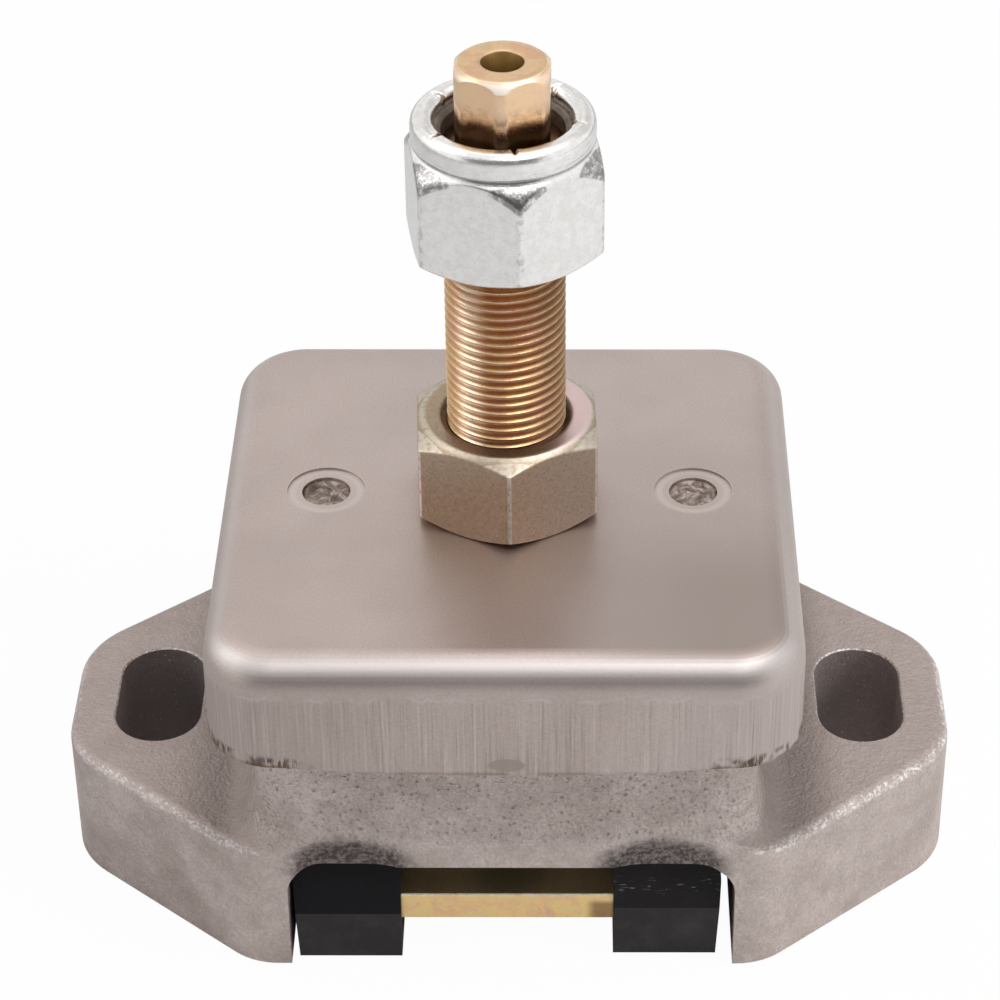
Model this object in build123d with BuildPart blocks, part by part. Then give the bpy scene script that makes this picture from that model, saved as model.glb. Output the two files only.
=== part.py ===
from build123d import *
import math
import os

# Adjustable engine mount, millimetres. X runs along the line through the two
# fixing slots, Y from front to back through the tunnel, Z up. The origin is on
# the foundation plane, on the axis of the adjusting stud.

# Deep-drawn square cover
cover_size = 93.5
cover_top = 66.15
cover_wall = 3.0
cover_corner_radius = 11.4
cover_edge_radius = 5.5
cover_trim_low = 45.45
cover_trim_high = 46.95
cover_trim_margin = 0.4
cover_stud_hole = 20.4

# Plug welds in the cover's top, each inside a spot-faced ring
weld_left_inset = 17.2
weld_right_inset = 16.5
weld_y = 0.6
weld_hole_radius = 3.95
weld_ring_radius = 6.35
weld_ring_depth = 0.3
weld_rim_drop = 0.7
weld_crown_drop = 0.3

# Pedestal of the cast base, which rises into the cover, and its blend into the ears
skirt_gap_side = 3.15
skirt_gap_front = 3.25
pedestal_draft = 1.5
pedestal_top = 49.65
pedestal_corner_radius = 8.0
pedestal_rim_radius = 1.2
blend_radius = 6.0

# Ears of the cast base: octagonal plan, one fixing slot through each, long way front to back
front_step = 0.6
slot_offset = 18.7
slot_width = 14.4
slot_length = 24.9
slot_rim = 0.25
ear_reach = 14.6
end_flat_margin = 1.65
front_flat_margin = 1.1
end_corner_radius = 15.4
front_corner_radius = 11.2
ear_top = 24.1
ear_edge_radius = 2.0
foot_edge_chamfer = 0.5
plate_margin = 10.0

# Tunnel through the base from front to back; its core sits a little to the right
tunnel_side_wall = 4.45
tunnel_shift = 0.75
tunnel_ceiling = 21.35
tunnel_corner_radius = 5.5

# Shallow hollows in the front and back faces over the tunnel's corners
hollow_radius = 16.0
hollow_depth = 1.0
hollow_inset = 10.15
hollow_straight = 6.2

# Pocket in the pedestal for the rubber spring
pocket_wall = 4.6
pocket_corner_radius = 6.0
pocket_floor = 28.65
pocket_floor_radius = 0.8
pocket_clearance = 1.0

# Core plate under the cover, with a blind threaded boss for the stud
core_clearance = 0.7
core_thickness = 6.35
core_top_chamfer = 3.2
boss_radius = 17.0
boss_depth = 12.4
boss_floor = 2.0

# Stud
stud_radius = 9.525
stud_end_clearance = 0.6
stud_thread_end = 132.15
stud_chamfer = 1.1
stud_hex = 14.45
stud_hex_turned = 7.95
stud_hex_face = 6.67
stud_hex_slope = 1.13
stud_hex_angle = -1.0
stud_top = 144.9
stud_hole_radius = 3.25
stud_hole_depth = 24.0
stud_hole_rim = 0.25

# Hexagon nuts
nut_flats = 28.575
nut_mouth_radius = 10.6
height_nut_top = 82.05
height_nut_angle = 2.3
height_nut_top_corner = 1.85
height_nut_bottom_corner = 1.45
lock_nut_angle = 9.6
lock_nut_bottom = 113.35
lock_nut_bottom_corner = 1.9
lock_nut_shoulder = 127.85
lock_nut_shoulder_slope = 1.45
collar_radius = 14.15
collar_neck_radius = 13.4
collar_neck = 131.85
collar_top = 136.3
collar_roll = 1.7
collar_mouth_radius = 10.6
lip_radius = 1.35
insert_bottom = 129.65
insert_top = 134.0
insert_radius = 12.3
nick_angles = (46, 100, 150, 216, 279, 345)
nick_width = 0.7
nick_length = 2.4

# Rubber spring between core plate and pocket plate
pocket_plate_thickness = 6.0
spring_margin = 5.0
spring_corner_radius = 6.0
spring_waist = 1.8

# Rebound plate, its rubber bumpers, posts and screws
rebound_thickness = 5.0
rebound_bottom = 7.8
rebound_end_gap = 2.75
rebound_setback = 3.1
bumper_side_gap = 1.35
bumper_length = 17.5
bumper_foot_lean = 0.7
bumper_cover = 1.5
bumper_front_lean = 3.5
bumper_left_bottom = 0.65
bumper_right_bottom = 1.4
bumper_left_ridge = 9.85
bumper_right_ridge = 11.25
bumper_gap = 1.0
bumper_top_radius = 4.5
post_inset = 14.6
post_radius = 4.75
post_spigot_radius = 3.5
post_clearance = 3.2
access_radius = 7.5
screw_radius = 3.175
screw_head_radius = 6.35
screw_length = 16.0
screw_socket = 3.97
screw_socket_depth = 2.2
pocket_screw_inset = 7.0

# Sizes that follow from the cover
pedestal_length = cover_size - 2 * (cover_wall + skirt_gap_side)
pedestal_width = cover_size - 2 * (cover_wall + skirt_gap_front)
base_width = pedestal_width + 2 * front_step
slot_spacing = pedestal_length + 2 * slot_offset
base_length = slot_spacing + 2 * ear_reach
end_flat = slot_length + 2 * end_flat_margin
front_flat = pedestal_length + 2 * front_flat_margin
tunnel_width = pedestal_length - 2 * tunnel_side_wall
hollow_centre = tunnel_width / 2 - hollow_inset
pocket_size = pedestal_length - 2 * pocket_wall
pocket_plate_size = pocket_size - 2 * pocket_clearance
spring_size = pocket_size - 2 * spring_margin
pocket_screw_y = spring_size / 2 - pocket_screw_inset
post_x = pedestal_length / 2 - post_inset
cover_trim_span = cover_size - 2 * (cover_corner_radius + cover_trim_margin)
weld_left_x = weld_left_inset - cover_size / 2
weld_right_x = cover_size / 2 - weld_right_inset
core_size = cover_size - 2 * cover_wall - 2 * core_clearance
core_corner_radius = cover_corner_radius - cover_wall - core_clearance
rebound_half_length = tunnel_width / 2 - rebound_end_gap
rebound_width = base_width - 2 * rebound_setback
bumper_outer_x = tunnel_width / 2 - bumper_side_gap
bumper_inner_x = bumper_outer_x - bumper_length
bumper_foot_x = bumper_outer_x - bumper_foot_lean
bumper_front = rebound_width / 2 + bumper_cover

# Derived levels
cover_ceiling = cover_top - cover_wall
core_bottom = cover_ceiling - core_thickness
boss_bottom = core_bottom - boss_depth
stud_bottom = boss_bottom + boss_floor + stud_end_clearance
spring_bottom = pocket_floor + pocket_plate_thickness
rebound_top = rebound_bottom + rebound_thickness
bumper_top = tunnel_ceiling - bumper_gap
screw_head_depth = screw_head_radius - screw_radius
nut_corner = nut_flats / math.sqrt(3)
stud_hex_corner = stud_hex / math.sqrt(3)
thirty = math.tan(math.radians(30))

os.makedirs("parts", exist_ok=True)


def write(piece, name):
    piece.part.label = name
    export_step(piece.part, "parts/" + name + ".step")


# Outline of the cast base, shared by the ears and by the limit of the blends
with BuildSketch() as outline:
    with BuildLine():
        Polyline(
            (base_length / 2, end_flat / 2),
            (front_flat / 2, base_width / 2),
            (-front_flat / 2, base_width / 2),
            (-base_length / 2, end_flat / 2),
            (-base_length / 2, -end_flat / 2),
            (-front_flat / 2, -base_width / 2),
            (front_flat / 2, -base_width / 2),
            (base_length / 2, -end_flat / 2),
            close=True,
        )
    make_face()
    end_corners = outline.vertices().filter_by(lambda v: abs(v.X) > base_length / 2 - 1)
    fillet(end_corners, end_corner_radius)
    front_corners = outline.vertices().filter_by(
        lambda v: abs(abs(v.X) - front_flat / 2) < 1 and abs(abs(v.Y) - base_width / 2) < 1
    )
    fillet(front_corners, front_corner_radius)

with BuildPart() as base_casting:
    with BuildSketch():
        Rectangle(base_length + 2 * plate_margin, base_width + 2 * plate_margin)
    extrude(amount=ear_top)
    with BuildSketch(Plane.XY.offset(ear_top)):
        RectangleRounded(pedestal_length, pedestal_width, pedestal_corner_radius)
    extrude(amount=pedestal_top - ear_top, taper=pedestal_draft)
    # concave blend all round the pedestal, then the octagonal outline cuts through it
    root_edges = base_casting.edges().filter_by(
        lambda e: abs(e.center().Z - ear_top) < 0.01
        and abs(e.center().X) < pedestal_length / 2 + 1
        and abs(e.center().Y) < pedestal_width / 2 + 1
    )
    fillet(root_edges, blend_radius)
    with BuildSketch():
        add(outline.sketch)
    extrude(amount=pedestal_top, mode=Mode.INTERSECT)
    # worn, rounded top edge of the ears, and the foot's edge
    side_faces = base_casting.faces().filter_by(lambda f: f.bounding_box().min.Z < 0.1 and f.bounding_box().size.Z > 1)
    ear_edges = side_faces.edges().filter_by(lambda e: e.bounding_box().min.Z > ear_top - 0.1)
    fillet(ear_edges, ear_edge_radius)
    foot_edges = base_casting.faces().sort_by(Axis.Z)[0].outer_wire().edges()
    chamfer(foot_edges, foot_edge_chamfer)
    rim_edges = base_casting.faces().sort_by(Axis.Z)[-1].edges()
    fillet(rim_edges, pedestal_rim_radius)
    # tunnel from front to back
    with BuildSketch(Plane.XZ):
        with Locations((tunnel_shift, 0)):
            RectangleRounded(tunnel_width, 2 * tunnel_ceiling, tunnel_corner_radius)
    extrude(amount=base_width, both=True, mode=Mode.SUBTRACT)
    # fixing slots
    with BuildSketch():
        with Locations((-slot_spacing / 2, 0), (slot_spacing / 2, 0)):
            SlotOverall(slot_length, slot_width, rotation=90)
    extrude(amount=ear_top, mode=Mode.SUBTRACT)
    slot_rims = base_casting.edges().filter_by(
        lambda e: abs(e.center().Z - ear_top) < 0.01
        and abs(abs(e.center().X) - slot_spacing / 2) < slot_width / 2 + 0.1
        and abs(e.center().Y) < slot_length / 2
    )
    chamfer(slot_rims, slot_rim)
    # pocket for the rubber spring
    with BuildSketch(Plane.XY.offset(pocket_floor)):
        RectangleRounded(pocket_size, pocket_size, pocket_corner_radius)
    extrude(amount=pedestal_top - pocket_floor, mode=Mode.SUBTRACT)
    floor_face = base_casting.faces().filter_by(Axis.Z).filter_by(lambda f: abs(f.center().Z - pocket_floor) < 0.01)[0]
    fillet(floor_face.outer_wire().edges(), pocket_floor_radius)
    # clearance holes for the posts and for the pocket plate's screws
    with BuildSketch(Plane.XY.offset(tunnel_ceiling - tunnel_corner_radius)):
        with Locations((-post_x, 0), (post_x, 0)):
            Circle(post_radius + post_clearance)
        with Locations((0, -pocket_screw_y), (0, pocket_screw_y)):
            Circle(screw_radius)
    extrude(amount=pocket_floor - tunnel_ceiling + tunnel_corner_radius, mode=Mode.SUBTRACT)
    for end in (-1, 1):
        with BuildSketch(Plane.XZ.offset(-end * pocket_screw_y)):
            with BuildLine():
                Line((0, tunnel_ceiling), (screw_head_radius, tunnel_ceiling))
                Line((screw_head_radius, tunnel_ceiling), (0, tunnel_ceiling + screw_head_radius))
                Line((0, tunnel_ceiling + screw_head_radius), (0, tunnel_ceiling))
            make_face()
        revolve(axis=Axis((0, end * pocket_screw_y, 0), (0, 0, 1)), mode=Mode.SUBTRACT)
    # shallow hollows over the tunnel's corners, front and back
    for end in (-1, 1):
        for side in (-1, 1):
            hollow_y = end * (base_width / 2 + hollow_radius - hollow_depth)
            with Locations(Location((side * hollow_centre, hollow_y, tunnel_ceiling), (0, 90, 0))):
                Cylinder(hollow_radius, hollow_straight, mode=Mode.SUBTRACT)
            for step in (-1, 1):
                with Locations((side * hollow_centre + step * hollow_straight / 2, hollow_y, tunnel_ceiling)):
                    Sphere(hollow_radius, mode=Mode.SUBTRACT)

write(base_casting, "base_casting")

with BuildPart() as top_cover:
    with BuildSketch(Plane.XY.offset(cover_trim_high)):
        RectangleRounded(cover_size, cover_size, cover_corner_radius)
    extrude(amount=cover_top - cover_trim_high)
    fillet(top_cover.faces().sort_by(Axis.Z)[-1].edges(), cover_edge_radius)
    offset(amount=-cover_wall, openings=top_cover.faces().sort_by(Axis.Z)[0])
    # the trimmed edge of the skirt hangs lower along the middle of each side
    for turn in range(4):
        lip = Plane(
            origin=(
                math.sin(math.radians(90 * turn)) * cover_size / 2,
                -math.cos(math.radians(90 * turn)) * cover_size / 2,
                0,
            ),
            x_dir=(math.cos(math.radians(90 * turn)), math.sin(math.radians(90 * turn)), 0),
            z_dir=(math.sin(math.radians(90 * turn)), -math.cos(math.radians(90 * turn)), 0),
        )
        with BuildSketch(lip):
            with BuildLine():
                ThreePointArc(
                    (-cover_trim_span / 2, cover_trim_high),
                    (0, cover_trim_low),
                    (cover_trim_span / 2, cover_trim_high),
                )
                Line((cover_trim_span / 2, cover_trim_high), (-cover_trim_span / 2, cover_trim_high))
            make_face()
        extrude(amount=-cover_wall)
    # stud hole, weld holes and the spot-faced rings round them
    with BuildSketch(Plane.XY.offset(cover_ceiling)):
        Circle(cover_stud_hole / 2)
        with Locations((weld_left_x, weld_y), (weld_right_x, weld_y)):
            Circle(weld_hole_radius)
    extrude(amount=cover_wall, mode=Mode.SUBTRACT)
    with BuildSketch(Plane.XY.offset(cover_top - weld_ring_depth)):
        with Locations((weld_left_x, weld_y), (weld_right_x, weld_y)):
            Circle(weld_ring_radius)
    extrude(amount=weld_ring_depth, mode=Mode.SUBTRACT)

write(top_cover, "top_cover")

# weld nuggets: a low rim against the hole's wall and a crown in the middle
for weld_x, weld_name in ((weld_left_x, "plug_weld_left"), (weld_right_x, "plug_weld_right")):
    with BuildPart() as plug_weld:
        with BuildSketch(Plane.XZ.offset(-weld_y)):
            with BuildLine():
                Line((weld_x, cover_ceiling), (weld_x + weld_hole_radius, cover_ceiling))
                Line(
                    (weld_x + weld_hole_radius, cover_ceiling),
                    (weld_x + weld_hole_radius, cover_top - weld_rim_drop),
                )
                Spline(
                    (weld_x + weld_hole_radius, cover_top - weld_rim_drop),
                    (weld_x + weld_hole_radius * 0.6, cover_top - weld_crown_drop),
                    (weld_x, cover_top - weld_crown_drop - 0.12),
                    tangents=((-1, 0), (-1, 0)),
                )
                Line((weld_x, cover_top - weld_crown_drop - 0.12), (weld_x, cover_ceiling))
            make_face()
        revolve(axis=Axis((weld_x, weld_y, 0), (0, 0, 1)))
    write(plug_weld, weld_name)

with BuildPart() as core_plate:
    with BuildSketch(Plane.XY.offset(core_bottom)):
        RectangleRounded(core_size, core_size, core_corner_radius)
    extrude(amount=core_thickness)
    chamfer(core_plate.faces().sort_by(Axis.Z)[-1].edges(), core_top_chamfer)
    with BuildSketch(Plane.XY.offset(boss_bottom)):
        Circle(boss_radius)
    extrude(amount=core_bottom - boss_bottom)
    chamfer(core_plate.faces().sort_by(Axis.Z)[0].edges(), 1.0)
    with BuildSketch(Plane.XY.offset(boss_bottom + boss_floor)):
        Circle(stud_radius)
    extrude(amount=cover_ceiling - boss_bottom - boss_floor, mode=Mode.SUBTRACT)
    with BuildSketch(Plane.XY.offset(core_bottom)):
        with Locations((-post_x, 0), (post_x, 0)):
            Circle(post_spigot_radius)
    extrude(amount=core_thickness, mode=Mode.SUBTRACT)

write(core_plate, "core_plate")

with BuildPart() as threaded_stud:
    with BuildSketch(Plane.XY.offset(stud_bottom)):
        Circle(stud_radius)
    extrude(amount=stud_thread_end - stud_bottom)
    chamfer(threaded_stud.faces().sort_by(Axis.Z)[0].edges(), stud_chamfer)
    chamfer(threaded_stud.faces().sort_by(Axis.Z)[-1].edges(), stud_chamfer)
    with BuildSketch(Plane.XY.offset(stud_thread_end)):
        RegularPolygon(stud_hex_corner, 6, rotation=30 + stud_hex_angle)
    extrude(amount=stud_top - stud_thread_end)
    # corners of the hexagon turned down, and turned off steeply at the top
    with BuildSketch(Plane.XZ):
        with BuildLine():
            Polyline(
                (0, stud_bottom),
                (stud_radius, stud_bottom),
                (stud_radius, stud_thread_end),
                (stud_radius, stud_thread_end + stud_radius - stud_hex_turned),
                (stud_hex_turned, stud_thread_end + stud_radius - stud_hex_turned),
                (stud_hex_turned, stud_top - (stud_hex_turned - stud_hex_face) * stud_hex_slope),
                (stud_hex_face, stud_top),
                (0, stud_top),
                close=True,
            )
        make_face()
    revolve(axis=Axis.Z, mode=Mode.INTERSECT)
    # centre hole with a drilled point
    with BuildSketch(Plane.XZ):
        with BuildLine():
            Polyline(
                (0, stud_top),
                (stud_hole_radius + stud_hole_rim, stud_top),
                (stud_hole_radius, stud_top - stud_hole_rim),
                (stud_hole_radius, stud_top - stud_hole_depth),
                (0, stud_top - stud_hole_depth - stud_hole_radius * thirty),
                close=True,
            )
        make_face()
    revolve(axis=Axis.Z, mode=Mode.SUBTRACT)

write(threaded_stud, "threaded_stud")

with BuildPart() as height_nut:
    with BuildSketch(Plane.XY.offset(cover_top)):
        RegularPolygon(nut_corner, 6, rotation=30 + height_nut_angle)
    extrude(amount=height_nut_top - cover_top)
    nut_foot = nut_corner - height_nut_bottom_corner / thirty
    nut_face = nut_corner - height_nut_top_corner / thirty
    with BuildSketch(Plane.XZ):
        with BuildLine():
            Polyline(
                (stud_radius, cover_top + nut_mouth_radius - stud_radius),
                (nut_mouth_radius, cover_top),
                (nut_foot, cover_top),
                (nut_corner + 1, cover_top + height_nut_bottom_corner + thirty),
                (nut_corner + 1, height_nut_top - height_nut_top_corner - thirty),
                (nut_face, height_nut_top),
                (nut_mouth_radius, height_nut_top),
                (stud_radius, height_nut_top - nut_mouth_radius + stud_radius),
                close=True,
            )
        make_face()
    revolve(axis=Axis.Z, mode=Mode.INTERSECT)

write(height_nut, "height_nut")

with BuildPart() as lock_nut:
    # hexagon body, chamfered below and falling away to the collar above
    with BuildSketch(Plane.XY.offset(lock_nut_bottom)):
        RegularPolygon(nut_corner, 6, rotation=30 + lock_nut_angle)
    extrude(amount=collar_top - lock_nut_bottom)
    shoulder_rise = (nut_corner - collar_radius) * lock_nut_shoulder_slope
    with BuildSketch(Plane.XZ):
        with BuildLine():
            Polyline(
                (0, lock_nut_bottom),
                (nut_corner - lock_nut_bottom_corner / thirty, lock_nut_bottom),
                (nut_corner + 1, lock_nut_bottom + lock_nut_bottom_corner + thirty),
                (nut_corner + 1, lock_nut_shoulder - lock_nut_shoulder_slope),
                (collar_radius, lock_nut_shoulder + shoulder_rise),
                (collar_neck_radius, collar_neck),
                (collar_radius, collar_neck + collar_radius - collar_neck_radius),
                (collar_radius, collar_top - collar_roll),
            )
            ThreePointArc(
                (collar_radius, collar_top - collar_roll),
                (
                    collar_radius - collar_roll * (1 - math.sqrt(0.5)),
                    collar_top - collar_roll * (1 - math.sqrt(0.5)),
                ),
                (collar_radius - collar_roll, collar_top),
            )
            Line((collar_radius - collar_roll, collar_top), (0, collar_top))
            Line((0, collar_top), (0, lock_nut_bottom))
        make_face()
    revolve(axis=Axis.Z, mode=Mode.INTERSECT)
    # bore, seat of the insert and the mouth that the collar's lip is rolled to
    with BuildSketch(Plane.XZ):
        with BuildLine():
            Polyline(
                (0, lock_nut_bottom),
                (nut_mouth_radius, lock_nut_bottom),
                (stud_radius, lock_nut_bottom + nut_mouth_radius - stud_radius),
                (stud_radius, insert_bottom),
                (insert_radius, insert_bottom),
                (insert_radius, insert_top),
                (collar_mouth_radius, insert_top),
                (collar_mouth_radius, collar_top - lip_radius),
            )
            ThreePointArc(
                (collar_mouth_radius, collar_top - lip_radius),
                (
                    collar_mouth_radius + lip_radius * (1 - math.sqrt(0.5)),
                    collar_top - lip_radius * (1 - math.sqrt(0.5)),
                ),
                (collar_mouth_radius + lip_radius, collar_top),
            )
            Line((collar_mouth_radius + lip_radius, collar_top), (0, collar_top))
            Line((0, collar_top), (0, lock_nut_bottom))
        make_face()
    revolve(axis=Axis.Z, mode=Mode.SUBTRACT)
    # crimp nicks across the lip
    for angle in nick_angles:
        nick = Plane(
            origin=(0, 0, collar_top),
            x_dir=(math.cos(math.radians(angle)), math.sin(math.radians(angle)), 0),
            z_dir=(math.sin(math.radians(angle)), -math.cos(math.radians(angle)), 0),
        )
        with BuildSketch(nick):
            with BuildLine():
                Polyline(
                    (collar_mouth_radius - 0.5, 0.5),
                    (collar_mouth_radius - 0.5, insert_top + 0.2 - collar_top),
                    (collar_mouth_radius + 0.2, insert_top + 0.2 - collar_top),
                    (collar_mouth_radius + nick_length, 0),
                    (collar_mouth_radius + nick_length, 0.5),
                    close=True,
                )
            make_face()
        extrude(amount=nick_width / 2, both=True, mode=Mode.SUBTRACT)

write(lock_nut, "lock_nut")

with BuildPart() as lock_nut_insert:
    with BuildSketch(Plane.XZ):
        with BuildLine():
            Polyline(
                (stud_radius, insert_bottom),
                (insert_radius, insert_bottom),
                (insert_radius, insert_top),
                (stud_radius + 0.5, insert_top),
                (stud_radius, insert_top - 0.5),
                close=True,
            )
        make_face()
    revolve(axis=Axis.Z)

write(lock_nut_insert, "lock_nut_insert")

with BuildPart() as pocket_plate:
    with BuildSketch(Plane.XY.offset(pocket_floor)):
        RectangleRounded(pocket_plate_size, pocket_plate_size, pocket_corner_radius - pocket_clearance)
    extrude(amount=pocket_plate_thickness)
    with BuildSketch(Plane.XY.offset(pocket_floor)):
        with Locations((-post_x, 0), (post_x, 0)):
            Circle(post_radius + post_clearance)
        with Locations((0, -pocket_screw_y), (0, pocket_screw_y)):
            Circle(screw_radius)
    extrude(amount=pocket_plate_thickness, mode=Mode.SUBTRACT)

write(pocket_plate, "pocket_plate")

# rubber spring, waisted between its two plates, notched where the posts pass
with BuildPart() as main_rubber:
    waist_z = (spring_bottom + core_bottom) / 2
    with BuildSketch(Plane.XY.offset(spring_bottom)):
        RectangleRounded(spring_size, spring_size, spring_corner_radius)
    with BuildSketch(Plane.XY.offset(waist_z)):
        RectangleRounded(spring_size - 2 * spring_waist, spring_size - 2 * spring_waist, spring_corner_radius)
    with BuildSketch(Plane.XY.offset(core_bottom)):
        RectangleRounded(spring_size, spring_size, spring_corner_radius)
    loft()
    with BuildSketch(Plane.XY.offset(spring_bottom)):
        with Locations((-post_x, 0), (post_x, 0)):
            Circle(post_radius + post_clearance)
        with Locations((-post_x - 10, 0), (post_x + 10, 0)):
            Rectangle(20, 2 * (post_radius + post_clearance))
    extrude(amount=core_bottom - spring_bottom, mode=Mode.SUBTRACT)
    add(core_plate.part, mode=Mode.SUBTRACT)
    with BuildSketch(Plane.XY.offset(boss_bottom)):
        Circle(boss_radius - 2)
    extrude(amount=core_bottom - boss_bottom, mode=Mode.SUBTRACT)

write(main_rubber, "main_rubber")

for side, post_name in ((-1, "rebound_post_left"), (1, "rebound_post_right")):
    with BuildPart() as rebound_post:
        with BuildSketch(Plane.XZ):
            with BuildLine():
                Polyline(
                    (side * post_x, rebound_top + screw_length - rebound_thickness),
                    (side * post_x + screw_radius, rebound_top + screw_length - rebound_thickness),
                    (side * post_x + screw_radius, rebound_top),
                    (side * post_x + post_radius, rebound_top),
                    (side * post_x + post_radius, core_bottom),
                    (side * post_x + post_spigot_radius, core_bottom),
                    (side * post_x + post_spigot_radius, cover_ceiling),
                    (side * post_x, cover_ceiling),
                    close=True,
                )
            make_face()
        revolve(axis=Axis((side * post_x, 0, 0), (0, 0, 1)))
    write(rebound_post, post_name)

with BuildPart() as rebound_plate:
    with BuildSketch(Plane.XY.offset(rebound_bottom)):
        Rectangle(2 * rebound_half_length, rebound_width)
    extrude(amount=rebound_thickness)
    fillet(rebound_plate.edges().filter_by(Axis.Z), 2.0)
    fillet(rebound_plate.faces().sort_by(Axis.Z)[-1].edges(), 0.35)
    for side in (-1, 1):
        with BuildSketch(Plane.XZ):
            with BuildLine():
                Polyline(
                    (side * post_x, rebound_bottom),
                    (side * post_x + screw_head_radius, rebound_bottom),
                    (side * post_x + screw_radius, rebound_bottom + screw_head_depth),
                    (side * post_x + screw_radius, rebound_top),
                    (side * post_x, rebound_top),
                    close=True,
                )
            make_face()
        revolve(axis=Axis((side * post_x, 0, 0), (0, 0, 1)), mode=Mode.SUBTRACT)

write(rebound_plate, "rebound_plate")

# bumpers moulded over the ends of the rebound plate and round the posts
for side, bottom, ridge, bumper_name in (
    (-1, bumper_left_bottom, bumper_left_ridge, "rebound_rubber_left"),
    (1, bumper_right_bottom, bumper_right_ridge, "rebound_rubber_right"),
):
    with BuildPart() as bumper:
        shoulder_y = bumper_front - bumper_front_lean
        with BuildSketch(Plane.YZ.offset(side * bumper_inner_x)):
            with BuildLine():
                Polyline(
                    (-bumper_front, bottom),
                    (bumper_front, bottom),
                    (bumper_front, ridge),
                    (shoulder_y, bumper_top),
                    (-shoulder_y, bumper_top),
                    (-bumper_front, ridge),
                    close=True,
                )
            make_face()
        extrude(amount=side * (bumper_outer_x - bumper_inner_x))
        # the outer side leans in towards the foot
        with BuildSketch(Plane.XZ):
            with BuildLine():
                Polyline(
                    (side * bumper_foot_x, bottom),
                    (side * bumper_outer_x, bumper_top * 0.75),
                    (side * (bumper_outer_x + 2), bumper_top * 0.75),
                    (side * (bumper_outer_x + 2), bottom),
                    close=True,
                )
            make_face()
        extrude(amount=bumper_front + 1, both=True, mode=Mode.SUBTRACT)
        # its upper outer edge follows the tunnel's rounded corner
        crest = bumper.edges().filter_by(Axis.Y).sort_by(Axis.Z).filter_by(
            lambda e: abs(e.center().X) > bumper_outer_x - 1 and e.center().Z > bumper_top - 1
        )
        fillet(crest, bumper_top_radius)
        add(rebound_plate.part, mode=Mode.SUBTRACT)
        with BuildSketch(Plane.XY.offset(rebound_bottom)):
            with Locations((side * post_x, 0)):
                Circle(screw_head_radius)
        extrude(amount=rebound_thickness, mode=Mode.SUBTRACT)
        with BuildSketch(Plane.XY.offset(rebound_bottom)):
            with Locations((side * post_x, 0)):
                Circle(post_radius)
        extrude(amount=bumper_top, mode=Mode.SUBTRACT)
        with BuildSketch(Plane.XY.offset(bottom)):
            with Locations((side * post_x, 0)):
                Circle(access_radius)
        extrude(amount=rebound_bottom - bottom, mode=Mode.SUBTRACT)
    write(bumper, bumper_name)

# countersunk screws with hexagon sockets, heads down
screws = (
    ("post_screw_left", -post_x, 0, rebound_bottom, screw_length),
    ("post_screw_right", post_x, 0, rebound_bottom, screw_length),
    ("pocket_screw_front", 0, -pocket_screw_y, tunnel_ceiling, spring_bottom - tunnel_ceiling),
    ("pocket_screw_back", 0, pocket_screw_y, tunnel_ceiling, spring_bottom - tunnel_ceiling),
)
for screw_name, screw_x, screw_y, head_z, length in screws:
    with BuildPart() as screw:
        with BuildSketch(Plane.XZ.offset(-screw_y)):
            with BuildLine():
                Polyline(
                    (screw_x, head_z),
                    (screw_x + screw_head_radius, head_z),
                    (screw_x + screw_radius, head_z + screw_head_depth),
                    (screw_x + screw_radius, head_z + length),
                    (screw_x, head_z + length),
                    close=True,
                )
            make_face()
        revolve(axis=Axis((screw_x, screw_y, 0), (0, 0, 1)))
        with BuildSketch(Plane.XY.offset(head_z)):
            with Locations((screw_x, screw_y)):
                RegularPolygon(screw_socket / math.sqrt(3), 6)
        extrude(amount=screw_socket_depth, mode=Mode.SUBTRACT)
    write(screw, screw_name)
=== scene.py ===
import math

import bmesh
import bpy
from mathutils import Euler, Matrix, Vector, noise


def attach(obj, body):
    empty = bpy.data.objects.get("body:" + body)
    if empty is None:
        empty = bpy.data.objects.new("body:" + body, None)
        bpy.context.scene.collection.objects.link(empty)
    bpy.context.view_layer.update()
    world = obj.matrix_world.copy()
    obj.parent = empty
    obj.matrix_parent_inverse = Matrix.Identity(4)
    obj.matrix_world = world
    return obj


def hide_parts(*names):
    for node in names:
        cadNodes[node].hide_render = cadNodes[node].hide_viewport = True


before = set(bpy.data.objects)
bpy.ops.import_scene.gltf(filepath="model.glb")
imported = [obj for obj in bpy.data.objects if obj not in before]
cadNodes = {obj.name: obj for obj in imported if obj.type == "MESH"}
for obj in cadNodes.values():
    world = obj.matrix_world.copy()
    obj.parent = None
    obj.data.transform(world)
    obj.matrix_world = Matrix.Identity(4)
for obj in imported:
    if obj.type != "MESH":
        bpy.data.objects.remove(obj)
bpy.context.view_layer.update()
scene = bpy.context.scene
mm = 0.001
print("engine mount: frame loaded,", len(cadNodes), "CAD nodes")


# Node helpers: a wrapped socket that does maths, and a graph that makes the nodes

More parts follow.
